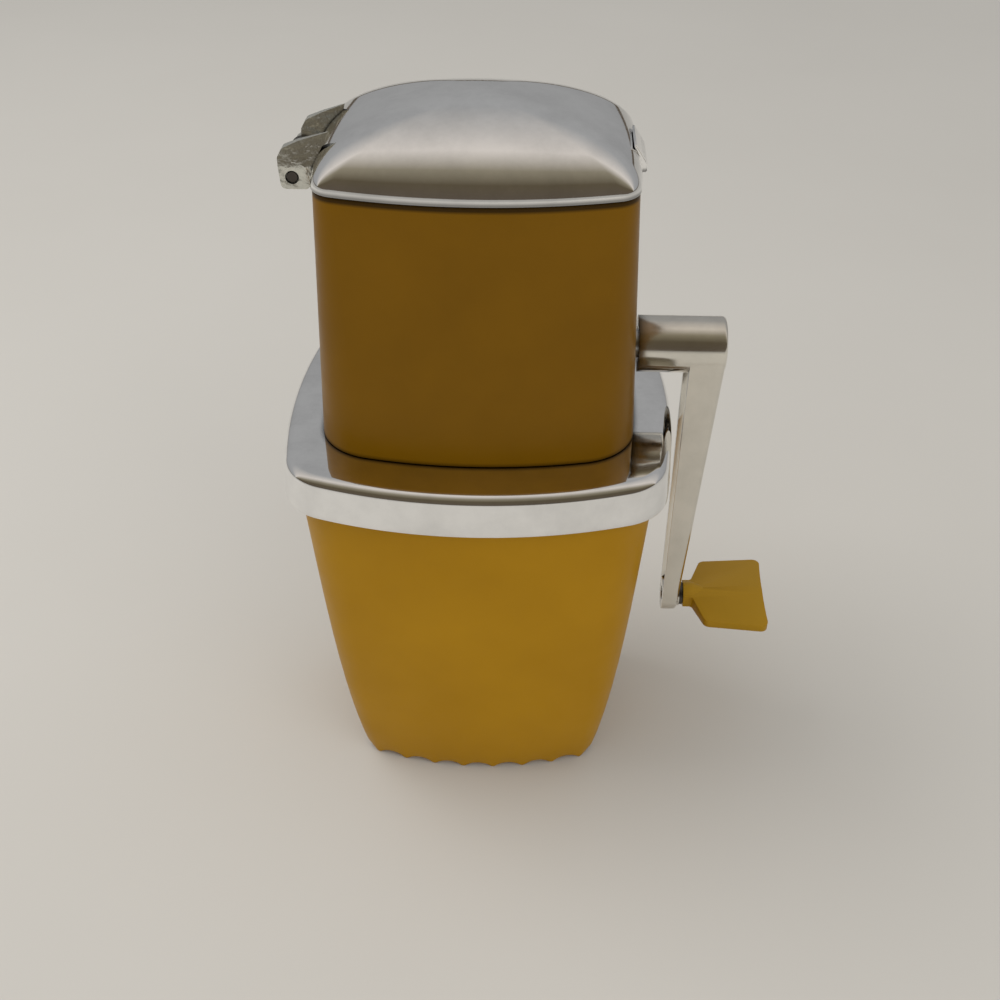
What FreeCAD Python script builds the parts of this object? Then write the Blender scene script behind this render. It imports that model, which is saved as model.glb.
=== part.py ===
"""Hand crank ice crusher with a lift-off head, a hinged lid and a turning crank.

Millimetres, +Z up, the crank on +X, the lid hinge on -X and the front on -Y.
The origin is on the floor, under the middle of the cup's foot.
"""
import FreeCAD
import Part
import math
import os

from FreeCAD import Placement, Rotation, Vector

X_AXIS = Vector(1, 0, 0)
Y_AXIS = Vector(0, 1, 0)
Z_AXIS = Vector(0, 0, 1)

# Heights of the joints between the big pieces
collar_bottom_z = 124.2
collar_top_z = 138.9
lid_bottom_z = 225.5
lid_top_z = 248.0
seat_gap = 0.2

# Cup, half sizes of its outline at the floor and under the collar
cup_foot_half_x = 44.2
cup_foot_half_y = 38.6
cup_foot_bow_side = 260.0
cup_foot_bow_front = 114.0
cup_foot_corner = 8.0
cup_mouth_half_x = 61.2
cup_mouth_half_y = 56.4
cup_mouth_bow_side = 250.0
cup_mouth_bow_front = 156.0
cup_mouth_corner = 20.0
cup_straight_share = 0.70
cup_curl_power = 4.0
cup_sections = (5.0, 14.0, 28.0, 48.0, 75.0, 105.0)
cup_section_gap = 3.0
cup_wall = 2.2
cup_floor_z = 6.0
cup_floor = 2.6
cup_bead_height = 4.0
cup_bead_gap = 0.35

# Scalloped foot
foot_arches = 26
foot_arch_height = 2.0
foot_tip_flat = 0.9
foot_arch_depth = 2.6
foot_ring_width = 2.0
foot_path_steps = 8

# Chromed collar
collar_overhang = 4.7
collar_bow_side = 248.0
collar_bow_front = 154.0
collar_corner = 19.5
collar_draft = 0.5
collar_edge_round = 3.5
collar_wall = 2.2
collar_plate = 2.0

# Painted upper housing
housing_foot_half_x = 52.4
housing_foot_half_y = 42.9
housing_foot_bow_side = 270.0
housing_foot_bow_front = 160.0
housing_foot_corner = 20.5
housing_top_half_x = 49.9
housing_top_half_y = 37.8
housing_top_bow_side = 260.0
housing_top_bow_front = 156.0
housing_top_corner = 9.0
housing_wall = 1.6
housing_lip = 2.2
housing_shaft_hole_r = 6.0

# Lid
lid_overhang = 0.5
lid_bow_side = 250.0
lid_bow_front = 157.0
lid_corner = 9.0
lid_rim = 1.0
lid_wall = 1.6
lid_dome_power = 1.85
lid_corner_spread = 0.55
lid_sections = 11
lid_cap_share = 0.05
lid_rim_gap = 0.6
tab_half_width = 9.0
tab_reach = 1.1
tab_root = 2.6
tab_height = 8.8
tab_lip = 3.0

# Lid hinge
hinge_reach = 5.6
hinge_z = 225.0
hinge_pin_r = 1.6
hinge_clearance = 0.05
ear_inner_y = 9.0
ear_outer_y = 16.0
ear_side_gap = 0.3
ear_wall_gap = 0.35
ear_low_half = 3.5
ear_high_half = 4.3
ear_drop = 3.7
ear_crease_rise = 3.7
ear_left_rise = 6.0
ear_tip_half = 2.7
ear_tip_rise = 8.5
ear_knee_run = 2.2
ear_knee_rise = 10.6
ear_end_run = 11.4
ear_end_rise = 13.2
ear_root_run = 7.4
ear_root_rise = 5.0
ear_step_low = 1.4
ear_step_high = 3.2
ear_rear_step = 3.6
ear_slope_run = 2.9
ear_slope_rise = 8.5
ear_round = 1.8
ear_recess_r = 2.1
ear_recess = 0.8
tenon_width = 4.0
tenon_height = 3.0
tenon_rise = 2.0
tenon_reach = 1.2
tenon_root = 0.5
knuckle_r = 4.2
bracket_plate = 1.4
bracket_drop = 17.0
bracket_arm = 3.6
bracket_arm_drop = 1.4
rivet_r = 1.4
rivet_head_r = 2.6
rivet_head = 0.7
rivet_y = 5.0
rivet_drop = 12.5
rivet_gap = 0.2

# Hopper funnel and the crusher chamber under it
mouth_rim = 1.5
mouth_rim_width = 4.6
throat_z = 188.0
chamber_half_x = 34.0
chamber_half_y = 26.0
chamber_corner = 3.0
chamber_bottom_z = 120.0
chamber_wall = 3.0
funnel_wall = 2.0
chamber_flange = 2.5
chamber_flange_gap = 0.3
chute_gap = 2.0
boss_r = 11.0
boss_reach = 7.0

# Rotor
shaft_z = 162.0
shaft_r = 4.8
shaft_flat = 3.85
shaft_end_r = 3.7
shaft_clearance = 0.05
shaft_groove_r = 2.9
shaft_tail = 1.6
wheel_count = 5
wheel_thickness = 5.0
wheel_pitch = 13.0
wheel_tip_r = 19.5
wheel_root_r = 11.0
wheel_teeth = 4
wheel_stagger = 18.0
tooth_rise_share = 0.48
tooth_tip_share = 0.56
tooth_foot_share = 0.72
spacer_r = 9.0
rotor_end_play = 0.3
bush_r = 7.0
press_clearance = 0.02
bush_flange = 1.5
bush_flange_r = 9.0
washer_thickness = 0.8
washer_r = 6.5
ring_thickness = 0.9
ring_r = 6.0
ring_mouth = 2.4

# Combs
comb_bar = 4.5
comb_height = 12.0
comb_tooth = 4.0
coarse_comb_reach = 7.0
fine_comb_reach = 11.0
comb_end_gap = 0.3

# Screws
screw_r = 1.9
screw_clearance = 0.1
screw_head_r = 3.6
screw_head = 2.2
screw_head_round = 1.0
screw_slot = 0.8
screw_slot_depth = 0.9
comb_screw_x = 22.0
collar_screw_reach = 6.5
collar_screw_y = 20.0
collar_screw_length = 8.0
collar_boss_r = 4.4
collar_boss = 7.5

# Crank
crank_reach = 106.35
hub_gap = 1.0
hub_r = 9.55
hub_round = 1.4
hub_cap = 6.2
arm_gap = 2.0
arm_lean = 2.1
arm_top_depth = 12.0
arm_end_depth = 5.7
arm_top_half = 9.0
arm_end_r = 6.0
arm_wall = 2.0
arm_round = 1.2
arm_boss_r = 4.6
arm_boss_proud = 0.7
set_screw_r = 2.5
set_screw_inset = 8.2
set_screw_sink = 1.0

# Knob and its pin
pin_r = 1.6
pin_clearance = 0.06
pin_head_r = 2.45
pin_head = 1.5
pin_recess_r = 2.6
pin_recess = 2.6
pin_length = 24.0
knob_washer = 1.2
knob_washer_r = 4.2
knob_gap = 0.3
neck_r = 4.5
neck_length = 3.2
shoulder_half = 16.0
shoulder_run = 4.2
shoulder_round = 2.6
neck_round = 1.6
paddle_length = 27.5
paddle_half = 18.3
paddle_hollow = 1.0
paddle_half_thickness = 3.0
paddle_edge_half = 1.3
knob_turn = 6.0

# Places that follow from the sizes above
cup_top_z = collar_top_z - collar_plate - seat_gap
collar_half_x = cup_mouth_half_x + collar_overhang
collar_half_y = cup_mouth_half_y + collar_overhang
lid_half_x = housing_top_half_x + lid_overhang
lid_half_y = housing_top_half_y + lid_overhang
hinge_x = -lid_half_x - hinge_reach
collar_screw_x = chamber_half_x + chamber_wall + collar_screw_reach
housing_top_z = lid_bottom_z - seat_gap
knob_z = shaft_z - crank_reach
arm_inner_end_x = collar_half_x + arm_gap
arm_inner_top_x = arm_inner_end_x + arm_lean
arm_outer_x = arm_inner_top_x + arm_top_depth
arm_outer_end_x = arm_inner_end_x + arm_end_depth
arm_boss_x = arm_outer_end_x + arm_boss_proud
cut_over = 5.0
edge_match = 0.1


def corner_centre(half_x, half_y, bow_side, bow_front, corner):
    """Centre of the arc that rounds the +X +Y corner between two bowed sides."""
    side = Vector(half_x - bow_side, 0, 0)
    front = Vector(0, half_y - bow_front, 0)
    side_r = bow_side - corner
    front_r = bow_front - corner
    apart = (front - side).Length
    along = (side_r ** 2 - front_r ** 2 + apart ** 2) / (2 * apart)
    across = math.sqrt(side_r ** 2 - along ** 2)
    step = (front - side).normalize()
    normal = Vector(-step.y, step.x, 0)
    first = side + step * along + normal * across
    second = side + step * along - normal * across
    return first if first.x + first.y > second.x + second.y else second


def arc_through(points):
    return Part.Arc(*points).toShape()


def bowed_edges(z, half_x, half_y, bow_side, bow_front, corner):
    """Eight arcs of a rounded rectangle with bowed sides, from the middle of the front arc."""
    centre = corner_centre(half_x, half_y, bow_side, bow_front, corner)
    out_side = (centre - Vector(half_x - bow_side, 0, 0)).normalize()
    out_front = (centre - Vector(0, half_y - bow_front, 0)).normalize()
    out_mid = (out_side + out_front).normalize()
    at_side = centre + out_side * corner
    at_front = centre + out_front * corner
    at_mid = centre + out_mid * corner

    def place(point, sign_x, sign_y):
        return Vector(point.x * sign_x, point.y * sign_y, z)

    return [
        arc_through([place(at_front, -1, -1), Vector(0, -half_y, z), place(at_front, 1, -1)]),
        arc_through([place(at_front, 1, -1), place(at_mid, 1, -1), place(at_side, 1, -1)]),
        arc_through([place(at_side, 1, -1), Vector(half_x, 0, z), place(at_side, 1, 1)]),
        arc_through([place(at_side, 1, 1), place(at_mid, 1, 1), place(at_front, 1, 1)]),
        arc_through([place(at_front, 1, 1), Vector(0, half_y, z), place(at_front, -1, 1)]),
        arc_through([place(at_front, -1, 1), place(at_mid, -1, 1), place(at_side, -1, 1)]),
        arc_through([place(at_side, -1, 1), Vector(-half_x, 0, z), place(at_side, -1, -1)]),
        arc_through([place(at_side, -1, -1), place(at_mid, -1, -1), place(at_front, -1, -1)]),
    ]


def bowed(z, size, inset=0.0):
    """Closed bowed outline; size is half x, half y, side bow, front bow and corner radius."""
    return Part.Wire(bowed_edges(z, *[value - inset for value in size]))


def straight(z, half_x, half_y, corner):
    """Closed rounded rectangle with straight sides, its edges in the same order as bowed()."""
    flat_x = half_x - corner
    flat_y = half_y - corner
    edges = []
    quarters = ((1, -1, True), (1, 1, False), (-1, 1, True), (-1, -1, False))
    for sign_x, sign_y, front_first in quarters:
        centre = Vector(sign_x * flat_x, sign_y * flat_y, z)
        on_front = centre + Vector(0, sign_y * corner, 0)
        on_side = centre + Vector(sign_x * corner, 0, 0)
        on_mid = centre + Vector(sign_x, sign_y, 0).normalize() * corner
        start, end = (on_front, on_side) if front_first else (on_side, on_front)
        mirrored = Vector(-start.x, start.y, z) if front_first else Vector(start.x, -start.y, z)
        edges.append(Part.makeLine(mirrored, start))
        edges.append(arc_through([start, on_mid, end]))
    return Part.Wire(edges)


def loft(wires, ruled=False):
    return Part.makeLoft(wires, True, ruled)


def prism(wire, height):
    return Part.Face(wire).extrude(Vector(0, 0, height))


def cylinder(radius, length, base, axis):
    return Part.makeCylinder(radius, length, base, axis)


def blend(low, high, share):
    """Outline size between two outline sizes."""
    return [a + (b - a) * share for a, b in zip(low, high)]


def extrude_y(points, y_low, y_high):
    """Solid from an outline of x, z points, between two y planes."""
    ring = [Vector(x, y_low, z) for x, z in points]
    face = Part.Face(Part.makePolygon(ring + ring[:1]))
    return face.extrude(Vector(0, y_high - y_low, 0))


def is_along(edge, axis):
    """Whether an edge runs along an axis."""
    return abs(edge.tangentAt(edge.FirstParameter).dot(axis)) > 1 - edge_match


def clean(shape):
    """The one solid of a boolean result, without leftover seams."""
    tidy = shape.removeSplitter()
    if len(tidy.Solids) == 1:
        return tidy.Solids[0]
    return tidy


cup_foot = [cup_foot_half_x, cup_foot_half_y, cup_foot_bow_side, cup_foot_bow_front, cup_foot_corner]
cup_mouth = [
    cup_mouth_half_x,
    cup_mouth_half_y,
    cup_mouth_bow_side,
    cup_mouth_bow_front,
    cup_mouth_corner,
]
collar_low = [collar_half_x, collar_half_y, collar_bow_side, collar_bow_front, collar_corner]
collar_high = [value - collar_draft for value in collar_low]
housing_low = [
    housing_foot_half_x,
    housing_foot_half_y,
    housing_foot_bow_side,
    housing_foot_bow_front,
    housing_foot_corner,
]
housing_high = [
    housing_top_half_x,
    housing_top_half_y,
    housing_top_bow_side,
    housing_top_bow_front,
    housing_top_corner,
]
lid_plan = [lid_half_x, lid_half_y, lid_bow_side, lid_bow_front, lid_corner]


def cup_size(z):
    """Outline of the cup at a height: a straight taper that curls in towards the foot."""
    below = 1 - z / collar_bottom_z
    curl = max(below, 0) ** cup_curl_power
    share = 1 - cup_straight_share * below - (1 - cup_straight_share) * curl
    return blend(cup_foot, cup_mouth, share)


def cup_levels(low, high):
    """Section heights, closer together near the foot where the wall curls in."""
    inner = [z for z in cup_sections if low + cup_section_gap < z < high - cup_section_gap]
    return [low] + inner + [high]


def collar_cavity_size(z):
    share = (z - collar_bottom_z) / (collar_top_z - collar_bottom_z)
    return [value - collar_wall for value in blend(collar_low, collar_high, share)]


def foot_arch_tools():
    """Cylinders that cut the arches of the foot, square to its outline."""
    edges = bowed_edges(0, *cup_foot)
    path = Part.Wire(edges)
    pitch = path.Length / foot_arches
    half_chord = (pitch - foot_tip_flat) / 2
    radius = (half_chord ** 2 + foot_arch_height ** 2) / (2 * foot_arch_height)
    spots = foot_path_steps * foot_arches
    points = path.discretize(Number=spots + 1)[:-1]
    start = round(edges[0].Length / 2 / path.Length * spots)
    tools = []
    for index in range(foot_arches):
        here = (start + foot_path_steps * index) % spots
        tangent = (points[(here + 1) % spots] - points[here - 1]).normalize()
        inward = Vector(-tangent.y, tangent.x, 0)
        base = points[here] - inward * cut_over
        base.z = foot_arch_height - radius
        tools.append(cylinder(radius, cut_over + foot_arch_depth, base, inward))
    return tools


def make_cup():
    outer = loft([bowed(z, cup_size(z)) for z in cup_levels(0, cup_top_z)])
    inner_floor = cup_floor_z + cup_floor
    levels = cup_levels(inner_floor, cup_top_z + cut_over)
    inner = loft([bowed(z, cup_size(z), cup_wall) for z in levels])
    under = prism(bowed(0, cup_foot, foot_arch_depth + foot_ring_width), cup_floor_z)
    bead_size = collar_cavity_size(cup_top_z)
    bead_z = cup_top_z - cup_bead_height
    bead = prism(bowed(bead_z, bead_size, cup_bead_gap), cup_bead_height)
    shell = outer.fuse(bead).cut(inner).cut(under)
    for tool in foot_arch_tools():
        shell = shell.cut(tool)
    return clean(shell)


def make_collar():
    outer = loft([bowed(collar_bottom_z, collar_low), bowed(collar_top_z, collar_high)], True)
    top_edges = [e for e in outer.Edges if e.BoundBox.ZMin > collar_top_z - edge_match]
    outer = outer.makeFillet(collar_edge_round, top_edges)
    plate_z = collar_top_z - collar_plate
    cavity = loft(
        [
            bowed(collar_bottom_z, collar_cavity_size(collar_bottom_z)),
            bowed(plate_z, collar_cavity_size(plate_z)),
        ],
        True,
    )
    opening = prism(chamber_wire(-chamber_wall - chute_gap, plate_z), collar_plate)
    collar = outer.cut(cavity).cut(opening)
    for place in collar_screw_places():
        hole = cylinder(screw_r + screw_clearance, collar_plate, place, Z_AXIS)
        collar = collar.cut(hole)
    return clean(collar)


def collar_screw_places():
    plate_z = collar_top_z - collar_plate
    return [
        Vector(x, y, plate_z)
        for x in (-collar_screw_x, collar_screw_x)
        for y in (-collar_screw_y, collar_screw_y)
    ]


def housing_size(z):
    share = (z - collar_top_z) / (housing_top_z - collar_top_z)
    return blend(housing_low, housing_high, share)


def housing_solid(inset=0.0, low=collar_top_z, high=housing_top_z):
    wires = [bowed(z, housing_size(z), inset) for z in (low, high)]
    return loft(wires, True)


def make_housing():
    lip_z = housing_top_z - housing_wall
    inner = housing_solid(housing_wall, collar_top_z, lip_z)
    mouth = prism(bowed(lip_z, housing_size(lip_z), housing_wall + housing_lip), housing_wall)
    hole_base = Vector(housing_foot_half_x - cut_over, 0, shaft_z)
    housing = housing_solid().cut(inner).cut(mouth)
    housing = housing.cut(cylinder(housing_shaft_hole_r, 2 * cut_over, hole_base, X_AXIS))
    housing = housing.cut(bracket_arm_block(hinge_clearance))
    for hole in rivet_holes():
        housing = housing.cut(hole)
    return clean(housing)


def rivet_holes():
    """Holes for the bracket's rivets, from outside the hinge wall to the middle of the housing."""
    z = hinge_z - rivet_drop
    return [
        cylinder(rivet_r + hinge_clearance, -hinge_x, Vector(hinge_x, y, z), X_AXIS)
        for y in (-rivet_y, rivet_y)
    ]


def rim_size():
    """Outline of the hopper's rim, just inside the lid."""
    return [value - lid_wall - lid_rim_gap for value in lid_plan]


def mouth_solid(inset, low, high):
    """Inside of the funnel, or its outside when the inset is negative."""
    return loft([chamber_wire(inset, low), bowed(high, rim_size(), mouth_rim_width + inset)], True)


def chamber_wire(inset, z):
    return straight(z, *[value - inset for value in (chamber_half_x, chamber_half_y, chamber_corner)])


def chamber_solid(inset, low, high):
    return prism(chamber_wire(inset, low), high - low)


def boss_end_x():
    return chamber_half_x + chamber_wall + boss_reach


def make_hopper():
    """Funnel that hangs by its rim on the housing's lip and stands on the chamber."""
    rim = prism(bowed(housing_top_z, rim_size()), mouth_rim + seat_gap)
    funnel = mouth_solid(-funnel_wall, throat_z, housing_top_z)
    return clean(funnel.fuse(rim).cut(mouth_solid(0, throat_z, lid_bottom_z + mouth_rim)))


def make_chamber():
    """Casting that carries the rotor, with a foot flange and a chute through the collar."""
    flange_size = housing_size(collar_top_z + chamber_flange)
    flange_inset = housing_wall + chamber_flange_gap
    flange = prism(bowed(collar_top_z, flange_size, flange_inset), chamber_flange)
    boss_start = Vector(-boss_end_x(), 0, shaft_z)
    boss = cylinder(boss_r, 2 * boss_end_x(), boss_start, X_AXIS)
    body = chamber_solid(-chamber_wall, chamber_bottom_z, throat_z).fuse([flange, boss])
    screw_hole_r = screw_r + screw_clearance
    for place in collar_screw_places():
        base = Vector(place.x, place.y, collar_top_z)
        body = body.fuse(cylinder(collar_boss_r, collar_boss, base, Z_AXIS))
        body = body.cut(cylinder(screw_hole_r, collar_screw_length, base, Z_AXIS))
    body = body.cut(chamber_solid(0, chamber_bottom_z, throat_z))
    body = body.cut(cylinder(bush_r + press_clearance, 2 * boss_end_x(), boss_start, X_AXIS))
    for side in (-1, 1):
        for x in (-comb_screw_x, comb_screw_x):
            base = Vector(x, side * chamber_half_y, shaft_z)
            body = body.cut(cylinder(screw_hole_r, chamber_wall, base, Y_AXIS * side))
    return clean(body)


def make_bush(side, bore_r):
    length = boss_end_x() - chamber_half_x
    start = Vector(side * chamber_half_x, 0, shaft_z)
    axis = X_AXIS * side
    sleeve = cylinder(bush_r, length, start, axis)
    flange = cylinder(bush_flange_r, bush_flange, start + axis * length, axis)
    bore = cylinder(bore_r + shaft_clearance, length + bush_flange, start, axis)
    return clean(sleeve.fuse(flange).cut(bore))


def wheel_places():
    """Middle of each crusher wheel along the shaft."""
    first = -(wheel_count - 1) / 2 * wheel_pitch
    return [first + index * wheel_pitch for index in range(wheel_count)]


def shaft_section(length, start_x, extra=0.0):
    """Round bar with one flat, along X from start_x."""
    bar = cylinder(shaft_r + extra, length, Vector(start_x, 0, shaft_z), X_AXIS)
    flat_z = shaft_z + shaft_flat + extra
    trim = Part.makeBox(length, 4 * shaft_r, shaft_r, Vector(start_x, -2 * shaft_r, flat_z))
    return bar.cut(trim)


def ring_x():
    """Inner face of the retaining ring on the left end of the shaft."""
    return -(boss_end_x() + bush_flange + rotor_end_play + washer_thickness)


def crank_hub_x():
    """Inner end of the crank hub, just outside the housing wall."""
    return housing_size(shaft_z)[0] + hub_gap


def make_shaft():
    left_end = ring_x() - ring_thickness - shaft_tail
    keyed = shaft_section(2 * chamber_half_x, -chamber_half_x)
    right_x = chamber_half_x
    right = cylinder(shaft_r, arm_outer_x - hub_cap - right_x, Vector(right_x, 0, shaft_z), X_AXIS)
    left = cylinder(shaft_end_r, -chamber_half_x - left_end, Vector(left_end, 0, shaft_z), X_AXIS)
    groove_x = ring_x() - ring_thickness - hinge_clearance
    groove_length = ring_thickness + 2 * hinge_clearance
    groove = cylinder(shaft_end_r, groove_length, Vector(groove_x, 0, shaft_z), X_AXIS)
    core = cylinder(shaft_groove_r, groove_length, Vector(groove_x, 0, shaft_z), X_AXIS)
    return clean(keyed.fuse([right, left]).cut(groove.cut(core)))


def make_wheel(index):
    """Star wheel with hooked teeth, each one turned on from its neighbour."""
    middle = wheel_places()[index]
    step = 360.0 / wheel_teeth
    profile = [
        (wheel_root_r, 0.0),
        (wheel_tip_r, tooth_rise_share),
        (wheel_tip_r, tooth_tip_share),
        (wheel_root_r, tooth_foot_share),
    ]
    points = []
    for tooth in range(wheel_teeth):
        for radius, share in profile:
            angle = math.radians(index * wheel_stagger + (tooth + share) * step)
            points.append(Vector(0, radius * math.cos(angle), radius * math.sin(angle)))
    blank = Part.Face(Part.makePolygon(points + points[:1])).extrude(X_AXIS * wheel_thickness)
    blank.translate(Vector(middle - wheel_thickness / 2, 0, shaft_z))
    bore = shaft_section(wheel_thickness, middle - wheel_thickness / 2, shaft_clearance)
    return clean(blank.cut(bore))


def make_spacer(start_x, length):
    ring = cylinder(spacer_r, length, Vector(start_x, 0, shaft_z), X_AXIS)
    return clean(ring.cut(shaft_section(length, start_x, shaft_clearance)))


def make_washer():
    """Plain washer between the left bush and the retaining ring."""
    start = Vector(ring_x(), 0, shaft_z)
    disc = cylinder(washer_r, washer_thickness, start, X_AXIS)
    return disc.cut(cylinder(shaft_end_r + shaft_clearance, washer_thickness, start, X_AXIS))


def make_retaining_ring():
    start = Vector(ring_x() - ring_thickness, 0, shaft_z)
    disc = cylinder(ring_r, ring_thickness, start, X_AXIS)
    disc = disc.cut(cylinder(shaft_groove_r + shaft_clearance, ring_thickness, start, X_AXIS))
    corner = start - Vector(0, ring_mouth, ring_r)
    mouth = Part.makeBox(ring_thickness, 2 * ring_mouth, ring_r, corner)
    return clean(disc.cut(mouth))


def make_comb(side, reach):
    """Bar on a chamber wall with teeth that stand in the gaps between the wheels."""
    half_x = chamber_half_x - chamber_corner - comb_end_gap
    wall_y = side * chamber_half_y
    bar_y = wall_y - comb_bar if side > 0 else wall_y
    low_z = shaft_z - comb_height / 2
    comb = Part.makeBox(2 * half_x, comb_bar, comb_height, Vector(-half_x, bar_y, low_z))
    face_y = wall_y - side * comb_bar
    for middle in [(a + b) / 2 for a, b in zip(wheel_places(), wheel_places()[1:])]:
        outline = [
            Vector(middle - comb_tooth / 2, face_y, low_z),
            Vector(middle - comb_tooth / 2, face_y, low_z + comb_height),
            Vector(middle - comb_tooth / 2, face_y - side * reach, shaft_z + comb_tooth / 2),
            Vector(middle - comb_tooth / 2, face_y - side * reach, shaft_z - comb_tooth / 2),
        ]
        tooth = Part.Face(Part.makePolygon(outline + outline[:1])).extrude(X_AXIS * comb_tooth)
        comb = comb.fuse(tooth)
    for x in (-comb_screw_x, comb_screw_x):
        base = Vector(x, wall_y, shaft_z)
        comb = comb.cut(cylinder(screw_r + screw_clearance, comb_bar, base, Y_AXIS * -side))
    return clean(comb)


def make_screw(seat, direction, length):
    """Slotted pan head screw; seat is the middle of the head's under side."""
    top = seat - direction * screw_head
    shank = cylinder(screw_r, length, seat, direction)
    head = cylinder(screw_head_r, screw_head, top, direction)
    top_edge = [e for e in head.Edges if (e.CenterOfMass - top).Length < edge_match]
    head = head.makeFillet(screw_head_round, top_edge)
    slot = Part.makeBox(3 * screw_head_r, screw_slot, 2 * screw_slot_depth)
    slot.translate(Vector(-1.5 * screw_head_r, -screw_slot / 2, -screw_slot_depth))
    turned = Placement(top, Rotation(Z_AXIS, direction))
    slot.Placement = turned.multiply(slot.Placement)
    return clean(shank.fuse(head).cut(slot))


def make_comb_screws():
    screws = []
    for side in (-1, 1):
        for x in (-comb_screw_x, comb_screw_x):
            seat = Vector(x, side * (chamber_half_y + chamber_wall), shaft_z)
            screws.append(make_screw(seat, Y_AXIS * -side, chamber_wall + comb_bar))
    return Part.makeCompound(screws)


def make_collar_screws():
    length = collar_plate + collar_screw_length - screw_clearance
    return Part.makeCompound([make_screw(place, Z_AXIS, length) for place in collar_screw_places()])


def dome(inset):
    """Cushion shaped dome over a short upright rim, smaller all round by the inset.

    The last value of each outline size is its corner radius, widest halfway up the dome.
    """
    plan = [value - inset for value in lid_plan]
    rim_z = lid_bottom_z + lid_rim
    height = lid_top_z - inset - rim_z
    wires = []
    for index in range(lid_sections):
        angle = math.pi / 2 * index / (lid_sections - 1)
        share = lid_cap_share + (1 - lid_cap_share) * math.cos(angle)
        rise = height * (1 - share ** lid_dome_power) ** (1 / lid_dome_power)
        size = [value * share for value in plan]
        size[-1] += lid_corner_spread * plan[1] * share * (1 - share)
        wires.append(bowed(rim_z + rise, size))
    top = loft(wires)
    rim = prism(bowed(lid_bottom_z, plan), lid_rim)
    return rim.fuse(top)


def tab_block():
    """Finger lip on the crank side of the lid."""
    outer_x = lid_half_x + tab_reach
    outline = [
        (lid_half_x - cut_over, lid_bottom_z),
        (outer_x, lid_bottom_z),
        (outer_x, lid_bottom_z + tab_lip),
        (lid_half_x - tab_root, lid_bottom_z + tab_height),
        (lid_half_x - cut_over, lid_bottom_z + tab_height),
    ]
    return extrude_y(outline, -tab_half_width, tab_half_width)


def tenon(side, extra=0.0):
    """Tongue that passes from an ear through the lid wall."""
    middle = side * (ear_inner_y + ear_outer_y) / 2
    half = tenon_width / 2 + extra
    reach = lid_wall + tenon_reach + cut_over
    corner = Vector(-lid_half_x - cut_over, middle - half, lid_bottom_z + tenon_rise - extra)
    return Part.makeBox(reach, 2 * half, tenon_height + 2 * extra, corner)


def make_lid():
    shell = dome(0.0).fuse(tab_block()).cut(dome(lid_wall))
    below = prism(bowed(lid_bottom_z - cut_over, lid_plan, lid_wall), cut_over + lid_rim)
    shell = shell.cut(below)
    for side in (-1, 1):
        shell = shell.cut(tenon(side, hinge_clearance))
    return clean(shell)


def ear_outline(step):
    """Side view of an ear, as (x, z); above the pin the rear ear steps in towards the lid."""
    wall_x = -housing_top_half_x - ear_wall_gap
    root_x = hinge_x + ear_root_run + step
    foot = [
        (hinge_x - ear_low_half, hinge_z - ear_drop),
        (wall_x - ear_wall_gap, hinge_z - ear_drop),
        (wall_x, lid_bottom_z),
        (root_x, lid_bottom_z),
    ]
    roof = [
        (root_x, hinge_z + ear_root_rise),
        (hinge_x + ear_end_run + step / 2, hinge_z + ear_end_rise),
        (hinge_x + ear_knee_run + step, hinge_z + ear_knee_rise),
        (hinge_x - ear_tip_half + step, hinge_z + ear_tip_rise),
        (hinge_x - ear_high_half + step, hinge_z + ear_left_rise),
    ]
    shoulder = [
        (hinge_x - ear_high_half + step, hinge_z + ear_step_high),
        (hinge_x - ear_low_half, hinge_z + ear_step_low),
    ]
    return foot + roof + (shoulder if step else [])


def make_ear(side):
    """Cast hinge ear: a tapered foot round the pin, and a roof shaped shoulder up to the dome."""
    crease_z = hinge_z + ear_crease_rise
    y_low, y_high = sorted((side * ear_inner_y, side * ear_outer_y))
    ear = extrude_y(ear_outline(ear_rear_step if side > 0 else 0.0), y_low, y_high)
    crosswise = [e for e in ear.Edges if is_along(e, Y_AXIS)]
    limit_x = hinge_x + ear_knee_run
    rounded = [e for e in crosswise if e.CenterOfMass.x < limit_x or e.CenterOfMass.z < hinge_z]
    ear = ear.makeFillet(ear_round, rounded)
    for face_y, inward in ((y_low, 1), (y_high, -1)):
        ear = ear.cut(ear_slope(face_y, inward, crease_z))
    ear = ear.cut(dome(0.0))
    ear = ear.fuse(tenon(side).common(ear_root_space()))
    middle = Vector(hinge_x, side * ear_inner_y, hinge_z)
    ear = ear.cut(cylinder(hinge_pin_r + hinge_clearance, ear_outer_y, middle, Y_AXIS * side))
    mouth = Vector(hinge_x, side * (ear_outer_y - ear_recess), hinge_z)
    ear = ear.cut(cylinder(ear_recess_r, ear_recess, mouth, Y_AXIS * side))
    return clean(ear)


def ear_slope(face_y, inward, crease_z):
    """Space beyond one side of the ear's roof, from the crease on the ear's flat face upwards."""
    start_x = 2 * hinge_x
    rise = 2 * ear_slope_rise
    outline = [
        Vector(start_x, face_y, crease_z),
        Vector(start_x, face_y + inward * 2 * ear_slope_run, crease_z + rise),
        Vector(start_x, face_y - inward * cut_over, crease_z + rise),
        Vector(start_x, face_y - inward * cut_over, crease_z),
    ]
    return Part.Face(Part.makePolygon(outline + outline[:1])).extrude(X_AXIS * -start_x)


def ear_root_space():
    """Where the tongues lie: from the lid's outer wall inwards."""
    reach = -hinge_x
    return Part.makeBox(reach, 2 * reach, reach, Vector(-lid_half_x - tenon_root, -reach, lid_bottom_z))


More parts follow.
